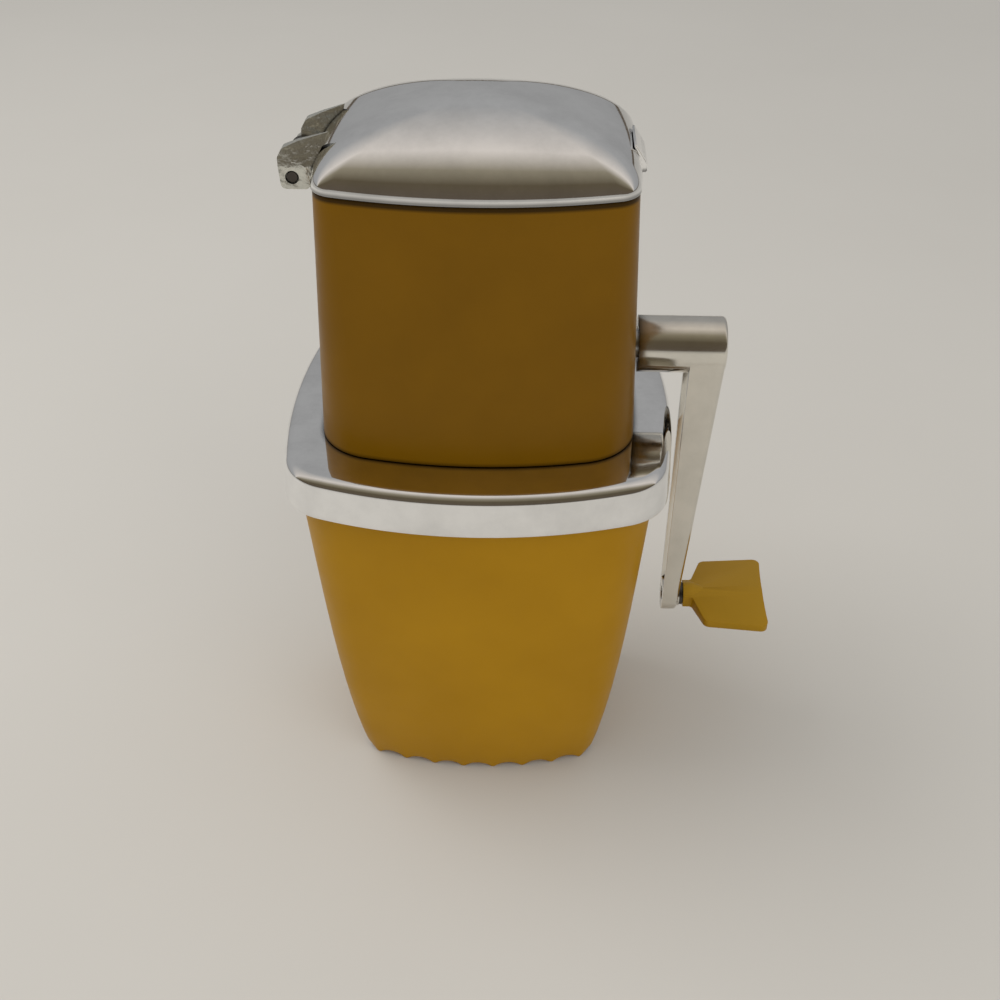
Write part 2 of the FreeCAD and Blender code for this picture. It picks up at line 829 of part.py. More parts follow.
def bracket_arm_block(extra=0.0):
    """Flat arm of the hinge bracket that comes out through the housing wall."""
    half = ear_inner_y - ear_side_gap + extra
    high_z = hinge_z - bracket_arm_drop + extra
    low_z = high_z - bracket_arm - 2 * extra
    inner_x = -(housing_top_half_x - housing_wall - bracket_plate)
    return Part.makeBox(inner_x - hinge_x, 2 * half, high_z - low_z, Vector(hinge_x, -half, low_z))


def make_hinge_bracket():
    half = ear_inner_y - ear_side_gap
    low_z = hinge_z - bracket_drop
    high_z = housing_top_z - housing_wall - seat_gap
    inside = housing_solid(housing_wall).cut(housing_solid(housing_wall + bracket_plate))
    window = Part.makeBox(-hinge_x, 2 * half, high_z - low_z, Vector(hinge_x, -half, low_z))
    plate = inside.common(window)
    middle = Vector(hinge_x, -half, hinge_z)
    knuckle = cylinder(knuckle_r, 2 * half, middle, Y_AXIS)
    bore = cylinder(hinge_pin_r + press_clearance, 2 * half, middle, Y_AXIS)
    bracket = plate.fuse([bracket_arm_block(), knuckle]).cut(bore)
    for hole in rivet_holes():
        bracket = bracket.cut(hole)
    return clean(bracket)


def make_hinge_rivets():
    """Two rivets that hold the bracket to the inside of the housing wall."""
    z = hinge_z - rivet_drop
    outer_x = -housing_size(z)[0] - rivet_gap
    inner_x = outer_x + housing_wall + bracket_plate + 2 * rivet_gap
    rivets = []
    for y in (-rivet_y, rivet_y):
        shank = cylinder(rivet_r, inner_x - outer_x, Vector(outer_x, y, z), X_AXIS)
        outer_head = cylinder(rivet_head_r, rivet_head, Vector(outer_x - rivet_head, y, z), X_AXIS)
        inner_head = cylinder(rivet_head_r, rivet_head, Vector(inner_x, y, z), X_AXIS)
        rivets.append(clean(shank.fuse([outer_head, inner_head])))
    return Part.makeCompound(rivets)


def make_hinge_pin():
    half = ear_outer_y - ear_recess / 2
    return cylinder(hinge_pin_r, 2 * half, Vector(hinge_x, -half, hinge_z), Y_AXIS)


def side_outline(top_r, end_r, top_z, end_z, x):
    """Outline of the arm seen along X: two round ends joined by tangents."""
    reach = top_z - end_z
    lean = math.asin((top_r - end_r) / reach)
    top_y = top_r * math.cos(lean)
    end_y = end_r * math.cos(lean)
    top_side = top_z - top_r * math.sin(lean)
    end_side = end_z - end_r * math.sin(lean)
    points = [
        Vector(x, -top_y, top_side),
        Vector(x, 0, top_z + top_r),
        Vector(x, top_y, top_side),
        Vector(x, end_y, end_side),
        Vector(x, 0, end_z - end_r),
        Vector(x, -end_y, end_side),
    ]
    return Part.Wire(
        [
            arc_through(points[0:3]),
            Part.makeLine(points[2], points[3]),
            arc_through(points[3:6]),
            Part.makeLine(points[5], points[0]),
        ]
    )


def arm_envelope(inset):
    """Space between the arm's inner and outer faces, which lean in towards the knob."""
    top_z = shaft_z + 2 * hub_r
    low_z = knob_z - 2 * hub_r
    slope_in = (arm_inner_top_x - arm_inner_end_x) / crank_reach
    slope_out = (arm_outer_x - arm_outer_end_x) / crank_reach
    outline = [
        (arm_inner_end_x + slope_in * (low_z - knob_z), low_z),
        (arm_outer_end_x - inset + slope_out * (low_z - knob_z), low_z),
        (arm_outer_x - inset, shaft_z),
        (arm_outer_x - inset, top_z),
        (arm_inner_end_x + slope_in * (top_z - knob_z), top_z),
    ]
    return extrude_y(outline, -2 * hub_r, 2 * hub_r)


def arm_solid(top_r, end_r, inset):
    """Tapered plate of the arm between its leaning faces, or the space inside it."""
    start = arm_inner_end_x - cut_over
    span = arm_outer_x - start + cut_over
    plate = Part.Face(side_outline(top_r, end_r, shaft_z, knob_z, start)).extrude(X_AXIS * span)
    return plate.common(arm_envelope(inset))


def arm_pocket():
    """Channel in the arm's inner side, between the hub and the round end."""
    pocket = arm_solid(arm_top_half - arm_wall, arm_end_r - arm_wall, arm_wall)
    start = Vector(arm_inner_end_x - cut_over, 0, shaft_z)
    pocket = pocket.cut(cylinder(hub_r, 2 * hub_r, start, X_AXIS))
    low_z = knob_z + arm_boss_r
    below = Part.makeBox(2 * hub_r, 4 * hub_r, low_z, Vector(start.x, -2 * hub_r, 0))
    return pocket.cut(below)


def make_crank_arm():
    hub_x = crank_hub_x()
    hub = cylinder(hub_r, arm_outer_x - hub_x, Vector(hub_x, 0, shaft_z), X_AXIS)
    outer_edges = [e for e in hub.Edges if e.BoundBox.XMin > arm_outer_x - edge_match]
    hub = hub.makeFillet(hub_round, outer_edges)
    plate = arm_solid(arm_top_half, arm_end_r, 0.0)
    plate = plate.makeFillet(arm_round, arm_outer_edges(plate))
    boss_x = arm_inner_end_x + arm_wall
    boss = cylinder(arm_boss_r, arm_boss_x - boss_x, Vector(boss_x, 0, knob_z), X_AXIS)
    body = hub.fuse([plate.cut(arm_pocket()), boss])
    start = Vector(arm_inner_end_x - cut_over, 0, knob_z)
    bore_depth = arm_outer_x - hub_cap + shaft_clearance - hub_x
    cuts = [
        cylinder(shaft_r + shaft_clearance, bore_depth, Vector(hub_x, 0, shaft_z), X_AXIS),
        cylinder(pin_r + press_clearance, 2 * hub_r, start, X_AXIS),
        cylinder(pin_recess_r, cut_over + pin_recess, start, X_AXIS),
        cylinder(set_screw_r + hinge_clearance, hub_r, Vector(set_screw_x(), 0, shaft_z), Y_AXIS),
    ]
    for cut in cuts:
        body = body.cut(cut)
    return clean(body)


def arm_outer_edges(plate):
    """Edges round the outer face of the arm, which is one leaning plane and an upright one."""
    faces = [f for f in plate.Faces if f.normalAt(0, 0).x > 0.9]
    edges = [e for f in faces for e in f.Edges]
    return [e for e in edges if sum(e.isSame(other) for other in edges) == 1]


def set_screw_x():
    return crank_hub_x() + set_screw_inset


def make_set_screw():
    """Slotted grub screw that holds the crank on the shaft, from the back of the hub."""
    start = Vector(set_screw_x(), shaft_r + hinge_clearance, shaft_z)
    length = hub_r - shaft_r - set_screw_sink
    screw = cylinder(set_screw_r, length, start, Y_AXIS)
    slot_y = start.y + length - screw_slot_depth
    corner = Vector(set_screw_x() - 2 * set_screw_r, slot_y, shaft_z - screw_slot / 2)
    slot = Part.makeBox(4 * set_screw_r, screw_slot_depth, screw_slot, corner)
    return clean(screw.cut(slot))


def pin_head_x():
    return arm_inner_end_x + pin_recess - pin_head


def make_knob_pin():
    head = cylinder(pin_head_r, pin_head, Vector(pin_head_x(), 0, knob_z), X_AXIS)
    length = arm_boss_x + pin_length - pin_head_x()
    shank = cylinder(pin_r, length, Vector(pin_head_x(), 0, knob_z), X_AXIS)
    return clean(head.fuse(shank))


def make_knob_washer():
    start = Vector(arm_boss_x, 0, knob_z)
    disc = cylinder(knob_washer_r, knob_washer, start, X_AXIS)
    return disc.cut(cylinder(pin_r + press_clearance, knob_washer, start, X_AXIS))


def paddle_plan(start_x):
    """Flat outline of the knob: narrow neck, shoulders, flared sides and a hollow end."""
    neck_x = start_x + neck_length
    shoulder_x = neck_x + shoulder_run
    end_x = neck_x + paddle_length
    points = [
        Vector(start_x, -neck_r, 0),
        Vector(neck_x, -neck_r, 0),
        Vector(shoulder_x, -shoulder_half, 0),
        Vector(end_x, -paddle_half, 0),
        Vector(end_x - paddle_hollow, 0, 0),
        Vector(end_x, paddle_half, 0),
        Vector(shoulder_x, shoulder_half, 0),
        Vector(neck_x, neck_r, 0),
        Vector(start_x, neck_r, 0),
    ]
    return Part.Wire(
        [
            Part.makeLine(points[0], points[1]),
            Part.makeLine(points[1], points[2]),
            Part.makeLine(points[2], points[3]),
            arc_through(points[3:6]),
            Part.makeLine(points[5], points[6]),
            Part.makeLine(points[6], points[7]),
            Part.makeLine(points[7], points[8]),
            Part.makeLine(points[8], points[0]),
        ]
    )


def make_knob():
    start_x = arm_boss_x + knob_washer + knob_gap
    height = 2 * neck_r
    plan = Part.Face(paddle_plan(start_x)).extrude(Z_AXIS * height)
    plan.translate(Vector(0, 0, -height / 2))
    upright = [e for e in plan.Edges if is_along(e, Z_AXIS)]
    corners = [e for e in upright if abs(e.CenterOfMass.y) > neck_r + edge_match]
    plan = plan.makeFillet(shoulder_round, corners)
    neck_end = start_x + neck_length
    upright = [e for e in plan.Edges if is_along(e, Z_AXIS)]
    at_neck = [e for e in upright if abs(e.CenterOfMass.x - neck_end) < edge_match]
    plan = plan.makeFillet(neck_round, at_neck)
    ridge = [
        Vector(start_x, -paddle_half, -paddle_edge_half),
        Vector(start_x, 0, -paddle_half_thickness),
        Vector(start_x, paddle_half, -paddle_edge_half),
        Vector(start_x, paddle_half, paddle_edge_half),
        Vector(start_x, 0, paddle_half_thickness),
        Vector(start_x, -paddle_half, paddle_edge_half),
    ]
    length = neck_length + paddle_length
    bar = Part.Face(Part.makePolygon(ridge + ridge[:1])).extrude(X_AXIS * length)
    paddle = plan.common(bar)
    start = Vector(start_x, 0, 0)
    neck = cylinder(neck_r, neck_length, start, X_AXIS)
    flare_start = Vector(neck_end, 0, 0)
    flare = Part.makeCone(neck_r, paddle_half_thickness, shoulder_run, flare_start, X_AXIS)
    knob = paddle.fuse([neck, flare])
    bore_length = pin_length - knob_washer
    knob = clean(knob.cut(cylinder(pin_r + pin_clearance, bore_length, start, X_AXIS)))
    knob.rotate(Vector(0, 0, 0), X_AXIS, knob_turn)
    knob.translate(Vector(0, 0, knob_z))
    return knob


def rotor_parts():
    """Wheels and spacers stacked along the keyed part of the shaft."""
    nodes = {}
    places = wheel_places()
    half = wheel_thickness / 2
    gap = wheel_pitch - wheel_thickness
    for index in range(wheel_count):
        nodes["crusher_wheel_%d" % (index + 1)] = make_wheel(index)
    for index, middle in enumerate(places[:-1]):
        nodes["rotor_spacer_%d" % (index + 1)] = make_spacer(middle + half, gap)
    end_length = chamber_half_x - rotor_end_play - places[-1] - half
    nodes["end_spacer_right"] = make_spacer(places[-1] + half, end_length)
    nodes["end_spacer_left"] = make_spacer(places[0] - half - end_length, end_length)
    return nodes


def build():
    nodes = {
        "cup": make_cup(),
        "collar": make_collar(),
        "upper_housing": make_housing(),
        "hopper": make_hopper(),
        "crusher_chamber": make_chamber(),
        "bearing_bush_left": make_bush(-1, shaft_end_r),
        "bearing_bush_right": make_bush(1, shaft_r),
        "coarse_comb": make_comb(1, coarse_comb_reach),
        "fine_comb": make_comb(-1, fine_comb_reach),
        "comb_screws": make_comb_screws(),
        "collar_screws": make_collar_screws(),
        "hinge_bracket": make_hinge_bracket(),
        "hinge_rivets": make_hinge_rivets(),
        "hinge_pin": make_hinge_pin(),
        "lid": make_lid(),
        "lid_ear_front": make_ear(-1),
        "lid_ear_rear": make_ear(1),
        "drive_shaft": make_shaft(),
        "shaft_washer": make_washer(),
        "shaft_retaining_ring": make_retaining_ring(),
        "crank_arm": make_crank_arm(),
        "crank_set_screw": make_set_screw(),
        "knob_pin": make_knob_pin(),
        "knob_washer": make_knob_washer(),
        "crank_knob": make_knob(),
    }
    nodes.update(rotor_parts())
    return nodes


def main():
    os.makedirs("parts", exist_ok=True)
    for name, shape in build().items():
        shape.exportStep("parts/%s.step" % name)
        print(name, len(shape.Solids), round(shape.Volume, 1), shape.isValid())


main()
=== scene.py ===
import math

import bmesh
import bpy
from mathutils import Matrix, Vector


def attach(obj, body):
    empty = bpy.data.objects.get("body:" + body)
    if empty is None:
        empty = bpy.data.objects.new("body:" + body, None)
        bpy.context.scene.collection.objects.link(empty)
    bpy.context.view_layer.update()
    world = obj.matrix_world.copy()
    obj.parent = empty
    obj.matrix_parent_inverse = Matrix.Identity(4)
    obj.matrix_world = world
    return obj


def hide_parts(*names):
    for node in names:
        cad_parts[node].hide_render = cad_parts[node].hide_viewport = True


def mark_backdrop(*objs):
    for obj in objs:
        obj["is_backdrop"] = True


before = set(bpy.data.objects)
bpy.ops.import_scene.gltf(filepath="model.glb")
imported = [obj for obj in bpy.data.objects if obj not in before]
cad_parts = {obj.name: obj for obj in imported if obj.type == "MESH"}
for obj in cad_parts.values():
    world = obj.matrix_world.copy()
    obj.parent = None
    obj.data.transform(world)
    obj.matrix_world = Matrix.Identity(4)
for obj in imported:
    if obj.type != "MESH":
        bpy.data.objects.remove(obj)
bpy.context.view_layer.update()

MM = 0.001

# Camera matched to the photograph
camera_place = (0.02049, -0.41747, 0.38648)
camera_pitch = 34.75
camera_yaw = -1.89
camera_roll = -0.15
camera_lens = 50.4

# Outlines in millimetres: half x, half y, side bow, front bow, corner radius
cup_foot = (44.2, 38.6, 260.0, 114.0, 8.0)
cup_mouth = (61.2, 56.4, 250.0, 156.0, 20.0)
collar_low = (65.9, 61.1, 248.0, 154.0, 19.5)
housing_low = (52.4, 42.9, 270.0, 160.0, 20.5)
housing_high = (49.9, 37.8, 260.0, 156.0, 9.0)
lid_plan = (50.4, 38.3, 250.0, 157.0, 9.0)

# Heights in millimetres
collar_bottom = 124.2
collar_top = 138.9
cup_top = 136.7
housing_top = 225.3
lid_bottom = 225.5
lid_top = 248.0
shaft_z = 162.0

# Walls, roundings and the other sizes of the remade shells, in millimetres
cup_wall = 2.2
cup_floor_under = 6.0
cup_floor_top = 8.6
cup_straight_share = 0.70
cup_curl_power = 4.0
foot_arches = 26
arch_steps = 16
foot_arch_height = 2.0
foot_tip_flat = 0.9
foot_arch_depth = 2.6
foot_ring_width = 2.0
edge_soft = 0.35
collar_draft = 0.5
collar_edge_round = 3.5
collar_wall = 2.2
collar_plate = 2.0
opening_half_x = 39.0
opening_half_y = 31.0
opening_corner = 8.0
housing_wall = 1.6
housing_lip = 2.2
housing_hole_r = 6.0
lid_rim = 1.0
lid_wall = 1.6
lid_dome_power = 1.85
lid_corner_spread = 0.55
lid_cap_share = 0.03
tab_half = 9.0
tab_reach = 1.1
tab_root = 2.6
tab_height = 8.8
tab_lip = 3.0

# Lights and room: tones are linear colours
room_light = (0.68, 0.68, 0.68, 1.0)
wall_tone = (0.70, 0.71, 0.70, 1.0)
floor_tones = [(0.3, (0.56, 0.54, 0.50)), (0.7, (0.58, 0.56, 0.52))]
floor_half = 6.0


# Outlines and shells

def blend(low, high, share):
    return tuple(a + (b - a) * share for a, b in zip(low, high))


def grown(size, amount):
    return tuple(value + amount for value in size)


def corner_centre(size):
    """Centre of the corner arc, as in the solid model."""
    half_x, half_y, bow_x, bow_y, corner = size
    side = Vector((half_x - bow_x, 0))
    front = Vector((0, half_y - bow_y))
    side_r, front_r = bow_x - corner, bow_y - corner
    apart = (front - side).length
    along = (side_r ** 2 - front_r ** 2 + apart ** 2) / (2 * apart)
    across = math.sqrt(side_r ** 2 - along ** 2)
    step = (front - side).normalized()
    normal = Vector((-step.y, step.x))
    found = [side + step * along + normal * across * sign for sign in (1, -1)]
    return max(found, key=lambda point: point.x + point.y)


def arcs(size):
    """The outline's eight arcs from the middle of the front: centre, radius, start and end angle."""
    half_x, half_y, bow_x, bow_y, corner = size
    centre = corner_centre(size)
    side = math.atan2(centre.y, centre.x - (half_x - bow_x))
    front = math.atan2(centre.y - (half_y - bow_y), centre.x)
    turn = math.pi
    side_x, front_y = half_x - bow_x, half_y - bow_y
    return [
        ((0, -front_y), bow_y, 1.5 * turn, 2 * turn - front),
        ((centre.x, -centre.y), corner, 2 * turn - front, 2 * turn - side),
        ((side_x, 0), bow_x, 2 * turn - side, 2 * turn + side),
        ((centre.x, centre.y), corner, 2 * turn + side, 2 * turn + front),
        ((0, front_y), bow_y, 2 * turn + front, 3 * turn - front),
        ((-centre.x, centre.y), corner, 3 * turn - front, 3 * turn - side),
        ((-side_x, 0), bow_x, 3 * turn - side, 3 * turn + side),
        ((-centre.x, -centre.y), corner, 3 * turn + side, 3 * turn + front),
        ((0, -front_y), bow_y, 3 * turn + front, 3.5 * turn),
    ]


def even_places(size, count):
    """Places at even steps along an outline: which arc, and how far along it."""
    lengths = [radius * (end - start) for _, radius, start, end in arcs(size)]
    total = sum(lengths)
    places = []
    for index in range(count):
        left = total * index / count
        arc = 0
        while left > lengths[arc]:
            left -= lengths[arc]
            arc += 1
        places.append((arc, left / lengths[arc]))
    return places


def arc_places(front_steps, corner_steps, side_steps):
    """Places with a set number of steps on each arc, close together at the corners."""
    steps = [front_steps, corner_steps, side_steps, corner_steps]
    steps += [2 * front_steps, corner_steps, side_steps, corner_steps, front_steps]
    return [(arc, i / count) for arc, count in enumerate(steps) for i in range(count)]


def outline(size, places):
    """Points and outward directions of an outline at the places."""
    known = arcs(size)
    points = []
    for arc, share in places:
        (x, y), radius, start, end = known[arc]
        angle = start + (end - start) * share
        out = Vector((math.cos(angle), math.sin(angle)))
        points.append((Vector((x, y)) + out * radius, out))
    return points


def ring(size, z, places, inset=0.0):
    """Ring of points in millimetres, moved inwards from the outline by the inset."""
    heights = z if isinstance(z, list) else [z] * len(places)
    return [
        Vector((point.x - out.x * inset, point.y - out.y * inset, height))
        for (point, out), height in zip(outline(size, places), heights)
    ]


def rounded(size_at, low, high, places, radius, outer=True, steps=4):
    """Rings round the edge at height high, rolling from the wall at low side to the flat."""
    rings = []
    for index in range(steps + 1):
        angle = math.pi / 2 * index / steps
        inset = radius * (1 - math.cos(angle))
        drop = radius * (1 - math.sin(angle))
        z = high - drop if high > low else high + drop
        rings.append(ring(size_at(z), z, places, inset if outer else -inset))
    return rings


def skin(name, rings, cap_first=False, cap_last=False):
    """Mesh object from rings of equal length, joined one to the next."""
    mesh = bmesh.new()
    rows = [[mesh.verts.new(point * MM) for point in points] for points in rings]
    count = len(rings[0])
    for low, high in zip(rows, rows[1:]):
        for index in range(count):
            after = (index + 1) % count
            mesh.faces.new((low[index], low[after], high[after], high[index]))
    if cap_first:
        fan(mesh, rows[0], True)
    if cap_last:
        fan(mesh, rows[-1], False)
    bmesh.ops.recalc_face_normals(mesh, faces=mesh.faces)
    return finish_mesh(name, mesh)


def fan(mesh, row, flip):
    middle = mesh.verts.new(sum((v.co for v in row), Vector()) / len(row))
    for index, vertex in enumerate(row):
        after = row[(index + 1) % len(row)]
        mesh.faces.new((after, vertex, middle) if flip else (vertex, after, middle))


def finish_mesh(name, mesh):
    data = bpy.data.meshes.new(name)
    mesh.to_mesh(data)
    mesh.free()
    piece = bpy.data.objects.new(name, data)
    bpy.context.scene.collection.objects.link(piece)
    return piece


def smooth(piece, angle=35.0):
    for polygon in piece.data.polygons:
        polygon.use_smooth = True
    piece.data.set_sharp_from_angle(angle=math.radians(angle))


def apply_modifiers(piece):
    bpy.context.view_layer.update()
    seen = piece.evaluated_get(bpy.context.evaluated_depsgraph_get())
    data = bpy.data.meshes.new_from_object(seen)
    piece.modifiers.clear()
    piece.data = data


# The remade shells

def cup_size(z):
    below = 1 - z / collar_bottom
    curl = max(below, 0) ** cup_curl_power
    return blend(cup_foot, cup_mouth, 1 - cup_straight_share * below - (1 - cup_straight_share) * curl)


def arch_heights(count):
    """Height of the foot's lower edge at each place: arches between pointed tips."""
    lengths = [radius * (end - start) for _, radius, start, end in arcs(cup_foot)]
    pitch = sum(lengths) / foot_arches
    half_chord = (pitch - foot_tip_flat) / 2
    radius = (half_chord ** 2 + foot_arch_height ** 2) / (2 * foot_arch_height)
    heights = []
    for index in range(count):
        along = (index * pitch / arch_steps + pitch / 2) % pitch - pitch / 2
        if abs(along) < half_chord:
            heights.append(math.sqrt(radius ** 2 - along ** 2) - (radius - foot_arch_height))
        else:
            heights.append(0.0)
    return heights


def make_cup():
    count = foot_arches * arch_steps
    places = even_places(cup_foot, count)
    arch = arch_heights(count)
    rings = []
    rings.append(ring(cup_foot, cup_floor_under, places, foot_arch_depth + foot_ring_width))
    rings.append(ring(cup_foot, edge_soft, places, foot_arch_depth + foot_ring_width))
    rings.append(ring(cup_foot, 0.0, places, foot_arch_depth + foot_ring_width - edge_soft))
    rings.append(ring(cup_foot, 0.0, places, foot_arch_depth))
    rings.append(ring(cup_foot, arch, places, foot_arch_depth))
    rings.append(ring(cup_foot, arch, places, 0.8 * foot_arch_depth))
    for step in range(4):
        angle = math.pi / 2 * step / 3
        lift = edge_soft * (1 - math.cos(angle))
        inset = edge_soft * (1 - math.sin(angle))
        rings.append(ring(cup_foot, [z + lift for z in arch], places, inset))
    for z in (3.0, 4.2, 5.6, 7.4, 10, 13, 17, 22, 28, 36, 46, 58, 72, 88, 104, 118):
        share = max(0.0, 1 - (z - 3.0) / 6.0)
        heights = [z + edge_soft + 0.25 * share * height for height in arch]
        rings.append(ring(cup_size(z), heights, places))
    bead = grown(blend(collar_low, grown(collar_low, -collar_draft), 0.85), -collar_wall - 0.35)
    rings.append(ring(cup_size(132.0), 132.0, places))
    rings.append(ring(bead, 132.7, places))
    rings.append(ring(bead, cup_top - edge_soft, places))
    rings.append(ring(bead, cup_top, places, edge_soft))
    rings.append(ring(cup_size(cup_top), cup_top, places, cup_wall - edge_soft))
    rings.append(ring(cup_size(cup_top), cup_top - edge_soft, places, cup_wall))
    for z in (118, 100, 80, 60, 44, 32, 22, 15, 11.5):
        rings.append(ring(cup_size(z), z, places, cup_wall))
    rings.append(ring(cup_size(9.5), 9.5, places, cup_wall + 0.4))
    rings.append(ring(cup_size(cup_floor_top), cup_floor_top, places, cup_wall + 1.4))
    cup = skin("cup_shell", rings, cap_first=True, cap_last=True)
    smooth(cup, 40)
    return cup


def make_collar():
    places = arc_places(40, 24, 60)

    def size_at(z):
        share = (z - collar_bottom) / (collar_top - collar_bottom)
        return grown(collar_low, -collar_draft * share)

    plate_under = collar_top - collar_plate
    rings = [
        ring(size_at(plate_under), plate_under, places, collar_wall),
        ring(size_at(collar_bottom), collar_bottom + edge_soft, places, collar_wall),
        ring(size_at(collar_bottom), collar_bottom, places, collar_wall - edge_soft),
        ring(size_at(collar_bottom), collar_bottom, places, edge_soft),
        ring(size_at(collar_bottom), collar_bottom + edge_soft * 0.3, places, edge_soft * 0.3),
        ring(size_at(collar_bottom), collar_bottom + edge_soft, places),
    ]
    for z in (127.0, 130.0, 133.0):
        rings.append(ring(size_at(z), z, places))
    rings += rounded(size_at, collar_bottom, collar_top, places, collar_edge_round, steps=10)
    rings.append(ring(size_at(collar_top), collar_top, places, collar_edge_round + 4.0))
    inner = opening_ring(collar_top, places)
    rings.append([point.copy() for point in inner])
    rings.append([Vector((point.x, point.y, plate_under)) for point in inner])
    rings.append(rings[0])
    collar = skin("collar_shell", rings)
    weld(collar)
    smooth(collar, 35)
    return collar


def opening_ring(z, places):
    """Rounded rectangle of the collar's opening, one point for each place."""
    flat_x = opening_half_x - opening_corner
    flat_y = opening_half_y - opening_corner
    points = []
    for (point, out) in outline(collar_low, places):
        angle = math.atan2(point.y / opening_half_y, point.x / opening_half_x)
        aim = Vector((math.cos(angle) * opening_half_x, math.sin(angle) * opening_half_y))
        x = max(-flat_x, min(flat_x, aim.x * 1.4))
        y = max(-flat_y, min(flat_y, aim.y * 1.4))
        away = Vector((aim.x * 1.4 - x, aim.y * 1.4 - y))
        if away.length < 1e-6:
            away = out.copy()
        away = away.normalized() * opening_corner
        points.append(Vector((x + away.x, y + away.y, z)))
    return points


def weld(piece):
    mesh = bmesh.new()
    mesh.from_mesh(piece.data)
    bmesh.ops.remove_doubles(mesh, verts=mesh.verts, dist=1e-6)
    bmesh.ops.recalc_face_normals(mesh, faces=mesh.faces)
    mesh.to_mesh(piece.data)
    mesh.free()


def make_housing():
    places = arc_places(40, 24, 60)

    def size_at(z):
        return blend(housing_low, housing_high, (z - collar_top) / (housing_top - collar_top))

    levels = [collar_top + 0.3 + (housing_top - 0.7 - collar_top) * i / 12 for i in range(13)]
    lip_z = housing_top - housing_wall
    rings = [ring(size_at(collar_top), collar_top, places, 0.3)]
    rings += [ring(size_at(z), z, places) for z in levels[:-1]]
    rings += rounded(size_at, collar_top, housing_top, places, 0.7, steps=4)
    rings.append(ring(size_at(housing_top), housing_top, places, housing_wall + housing_lip))
    rings.append(ring(size_at(lip_z), lip_z, places, housing_wall + housing_lip))
    rings.append(ring(size_at(lip_z), lip_z, places, housing_wall))
    rings += [ring(size_at(z), z, places, housing_wall) for z in reversed(levels[1:-1])]
    rings.append(ring(size_at(collar_top), collar_top, places, housing_wall))
    rings.append(rings[0])
    housing = skin("housing_shell", rings)
    weld(housing)
    cut_holes(housing)
    smooth(housing, 35)
    return housing


def cut_holes(housing):
    """Hole for the shaft, and the window for the hinge bracket's arm."""
    cutters = []
    hole = bmesh.new()
    bmesh.ops.create_cone(
        hole, cap_ends=True, segments=64, depth=20 * MM,
        radius1=housing_hole_r * MM, radius2=housing_hole_r * MM,
        matrix=Matrix.Translation(Vector((50, 0, shaft_z)) * MM)
        @ Matrix.Rotation(math.pi / 2, 4, "Y"),
    )
    cutters.append(finish_mesh("cutter_hole", hole))
    window = bmesh.new()
    bmesh.ops.create_cube(
        window, size=1.0,
        matrix=Matrix.Translation(Vector((-51, 0, 221.8)) * MM)
        @ Matrix.Diagonal((12 * MM, 17.5 * MM, 3.7 * MM, 1)),
    )
    cutters.append(finish_mesh("cutter_window", window))
    for cutter in cutters:
        modifier = housing.modifiers.new("cut", "BOOLEAN")
        modifier.operation = "DIFFERENCE"
        modifier.solver = "EXACT"
        modifier.object = cutter
    apply_modifiers(housing)
    for cutter in cutters:
        bpy.data.objects.remove(cutter)


def dome_rings(inset, places, steps):
    plan = grown(lid_plan, -inset)
    rim_z = lid_bottom + lid_rim
    height = lid_top - inset - rim_z
    rings = []
    for index in range(steps + 1):
        angle = math.pi / 2 * index / steps
        share = lid_cap_share + (1 - lid_cap_share) * math.cos(angle)
        rise = height * (1 - share ** lid_dome_power) ** (1 / lid_dome_power)
        size = [value * share for value in plan]
        size[-1] += lid_corner_spread * plan[1] * share * (1 - share)
        rings.append(ring(tuple(size), rim_z + rise, places))
    return rings


def make_lid():
    places = arc_places(40, 24, 60)
    outer = [
        ring(lid_plan, lid_bottom + edge_soft, places, lid_wall),
        ring(lid_plan, lid_bottom, places, lid_wall - edge_soft),
        ring(lid_plan, lid_bottom, places, edge_soft),
        ring(lid_plan, lid_bottom + edge_soft * 0.3, places, edge_soft * 0.3),
        ring(lid_plan, lid_bottom + edge_soft, places),
        ring(lid_plan, lid_bottom + lid_rim * 0.6, places),
    ]
    inner = dome_rings(lid_wall, places, 24)
    rings = list(reversed(inner)) + outer + dome_rings(0.0, places, 48)
    lid = skin("lid_shell", rings, cap_first=True, cap_last=True)
    smooth(lid, 35)
    return lid


def make_tab():
    """Finger tab on the lid's side over the crank: a thin wedge, let into the dome's wall."""
    side = lid_plan[0]
    section = [
        (side - 0.4, lid_bottom),
        (side + tab_reach, lid_bottom),
        (side + tab_reach, lid_bottom + tab_lip),
        (side - tab_root, lid_bottom + tab_height),
        (side - tab_root - 0.6, lid_bottom + tab_height - 0.6),
        (side - 1.2, lid_bottom + 0.45 * tab_height),
    ]
    mesh = bmesh.new()
    ends = [[mesh.verts.new(Vector((x, y, z)) * MM) for x, z in section] for y in (-tab_half, tab_half)]
    mesh.faces.new(ends[0])
    mesh.faces.new(reversed(ends[1]))
    for index in range(len(section)):
        after = (index + 1) % len(section)
        mesh.faces.new((ends[0][after], ends[0][index], ends[1][index], ends[1][after]))
    bmesh.ops.recalc_face_normals(mesh, faces=mesh.faces)
    bmesh.ops.bevel(
        mesh, geom=mesh.edges[:], offset=0.3 * MM, segments=3, affect="EDGES", clamp_overlap=True,
    )
    tab = finish_mesh("lid_tab", mesh)
    smooth(tab, 40)
    return tab


# Softened copies of the solid pieces

